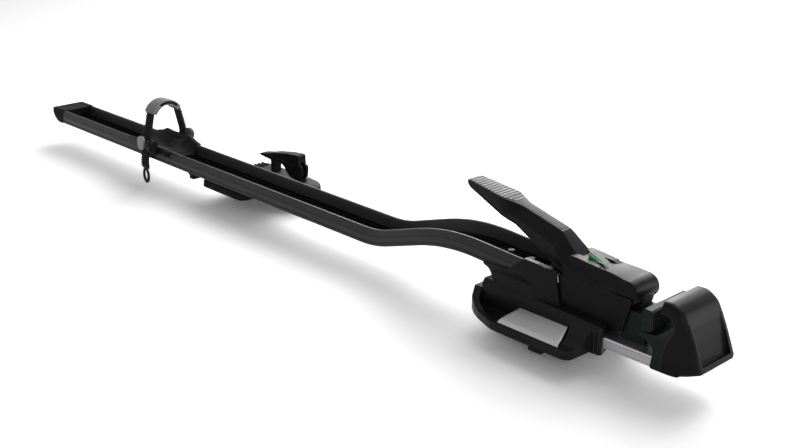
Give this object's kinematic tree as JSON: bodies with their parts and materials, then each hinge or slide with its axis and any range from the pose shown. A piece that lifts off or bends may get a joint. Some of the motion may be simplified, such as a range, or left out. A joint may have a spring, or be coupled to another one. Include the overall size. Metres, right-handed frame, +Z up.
{
  "type": "roof mounted bike carrier",
  "caption": "Roof bar bike carrier with a bent wheel tray, ratchet strap, clamp lever and through-axle head.",
  "frame": {"origin": "middle of the front foot, on the top of the roof bar", "axes": "+X forward to the head, +Z up, -Y the side with the strap's free end"},
  "size_m": [1.4839, 0.201, 0.179],
  "materials": {
    "black_plastic": "fine grain",
    "black_metal": "satin",
    "rubber": "matt",
    "bright_alloy": "anodised satin",
    "grey_plastic": "fine grain",
    "green_plastic": "satin",
    "steel": "zinc plated"
  },
  "bodies": {
    "frame": {"tray": "black_metal", "tray_end_cap": "black_plastic", "cap_pin": "steel", "rear_stop": "black_plastic", "front_foot": "black_plastic", "front_foot_pads": "rubber", "near_foot_cover": "bright_alloy", "far_foot_cover": "bright_alloy", "front_t_bolts": "steel", "front_bolt_nuts": "steel", "rail": "bright_alloy", "rail_screws": "steel", "tray_screws": "steel", "base_housing": "black_plastic", "base_screws": "steel", "cross_pin": "steel", "lever_pin": "steel", "head_casting": "black_metal", "head_cover": "black_plastic", "seat_liner": "rubber", "head_screws": "steel"},
    "clamp_lever": {"clamp_lever": "black_plastic", "lever_grip": "grey_plastic", "crank_pin": "steel"},
    "lock_button": {"lock_button": "grey_plastic", "lock_indicator": "green_plastic"},
    "jaw": {"jaw_carriage": "black_metal", "jaw_drawbar": "steel", "jaw_liner": "rubber", "jaw_screws": "steel"},
    "wheel_holder": {"wheel_cradle": "black_plastic", "cradle_frame": "black_plastic", "wheel_strap": "rubber", "rim_pad": "grey_plastic", "strap_anchor": "black_plastic", "anchor_knob": "black_plastic", "buckle_body": "black_plastic", "buckle_pin": "steel"},
    "buckle_lever": {"buckle_lever": "grey_plastic"},
    "rear_foot": {"rear_foot_plate": "black_plastic", "rear_foot_pad": "rubber", "rear_foot_slider": "steel", "slider_screw": "steel", "cam_washer": "steel"},
    "rear_bolt": {"rear_t_bolt": "steel", "cam_barrel": "steel"},
    "cam_lever": {"rear_cam_lever": "black_plastic"}
  },
  "joints": [
    {"name": "clamp_lever_hinge", "type": "hinge", "parent": "frame", "child": "clamp_lever", "pos_m": [0.098, 0, 0.084], "axis": [0, 1, 0], "range_deg": [0, 80]},
    {"name": "jaw_slide", "type": "slide", "parent": "frame", "child": "jaw", "axis": [1, 0, 0], "range_m": [-0.01415, 0]},
    {"name": "lock_button_slide", "type": "slide", "parent": "clamp_lever", "child": "lock_button", "axis": [0, 0, -1], "range_m": [0, 0.004], "stiffness_N_per_m": 600, "springref_m": -0.002},
    {"name": "wheel_holder_slide", "type": "slide", "parent": "frame", "child": "wheel_holder", "axis": [1, 0, 0], "range_m": [-0.18, 0.09]},
    {"name": "buckle_lever_hinge", "type": "hinge", "parent": "wheel_holder", "child": "buckle_lever", "pos_m": [-0.914, -0.05095, 0.0515], "axis": [0, 1, 0], "range_deg": [0, 25], "stiffness_Nm_per_rad": 0.2, "springref_deg": -11.46},
    {"name": "rear_foot_slide", "type": "slide", "parent": "frame", "child": "rear_foot", "axis": [1, 0, 0], "range_m": [-0.003, 0.25]},
    {"name": "rear_bolt_slide", "type": "slide", "parent": "rear_foot", "child": "rear_bolt", "axis": [0, 0, -1], "range_m": [0, 0.00134]},
    {"name": "cam_lever_hinge", "type": "hinge", "parent": "rear_bolt", "child": "cam_lever", "pos_m": [-0.661, 0.101, 0.025], "axis": [0, 1, 0], "range_deg": [0, 80]}
  ],
  "couplings": [
    {"joint": "jaw_slide", "follows": "clamp_lever_hinge", "m_per_rad": -0.010128},
    {"joint": "rear_bolt_slide", "follows": "cam_lever_hinge", "m_per_rad": 0.000955}
  ]
}
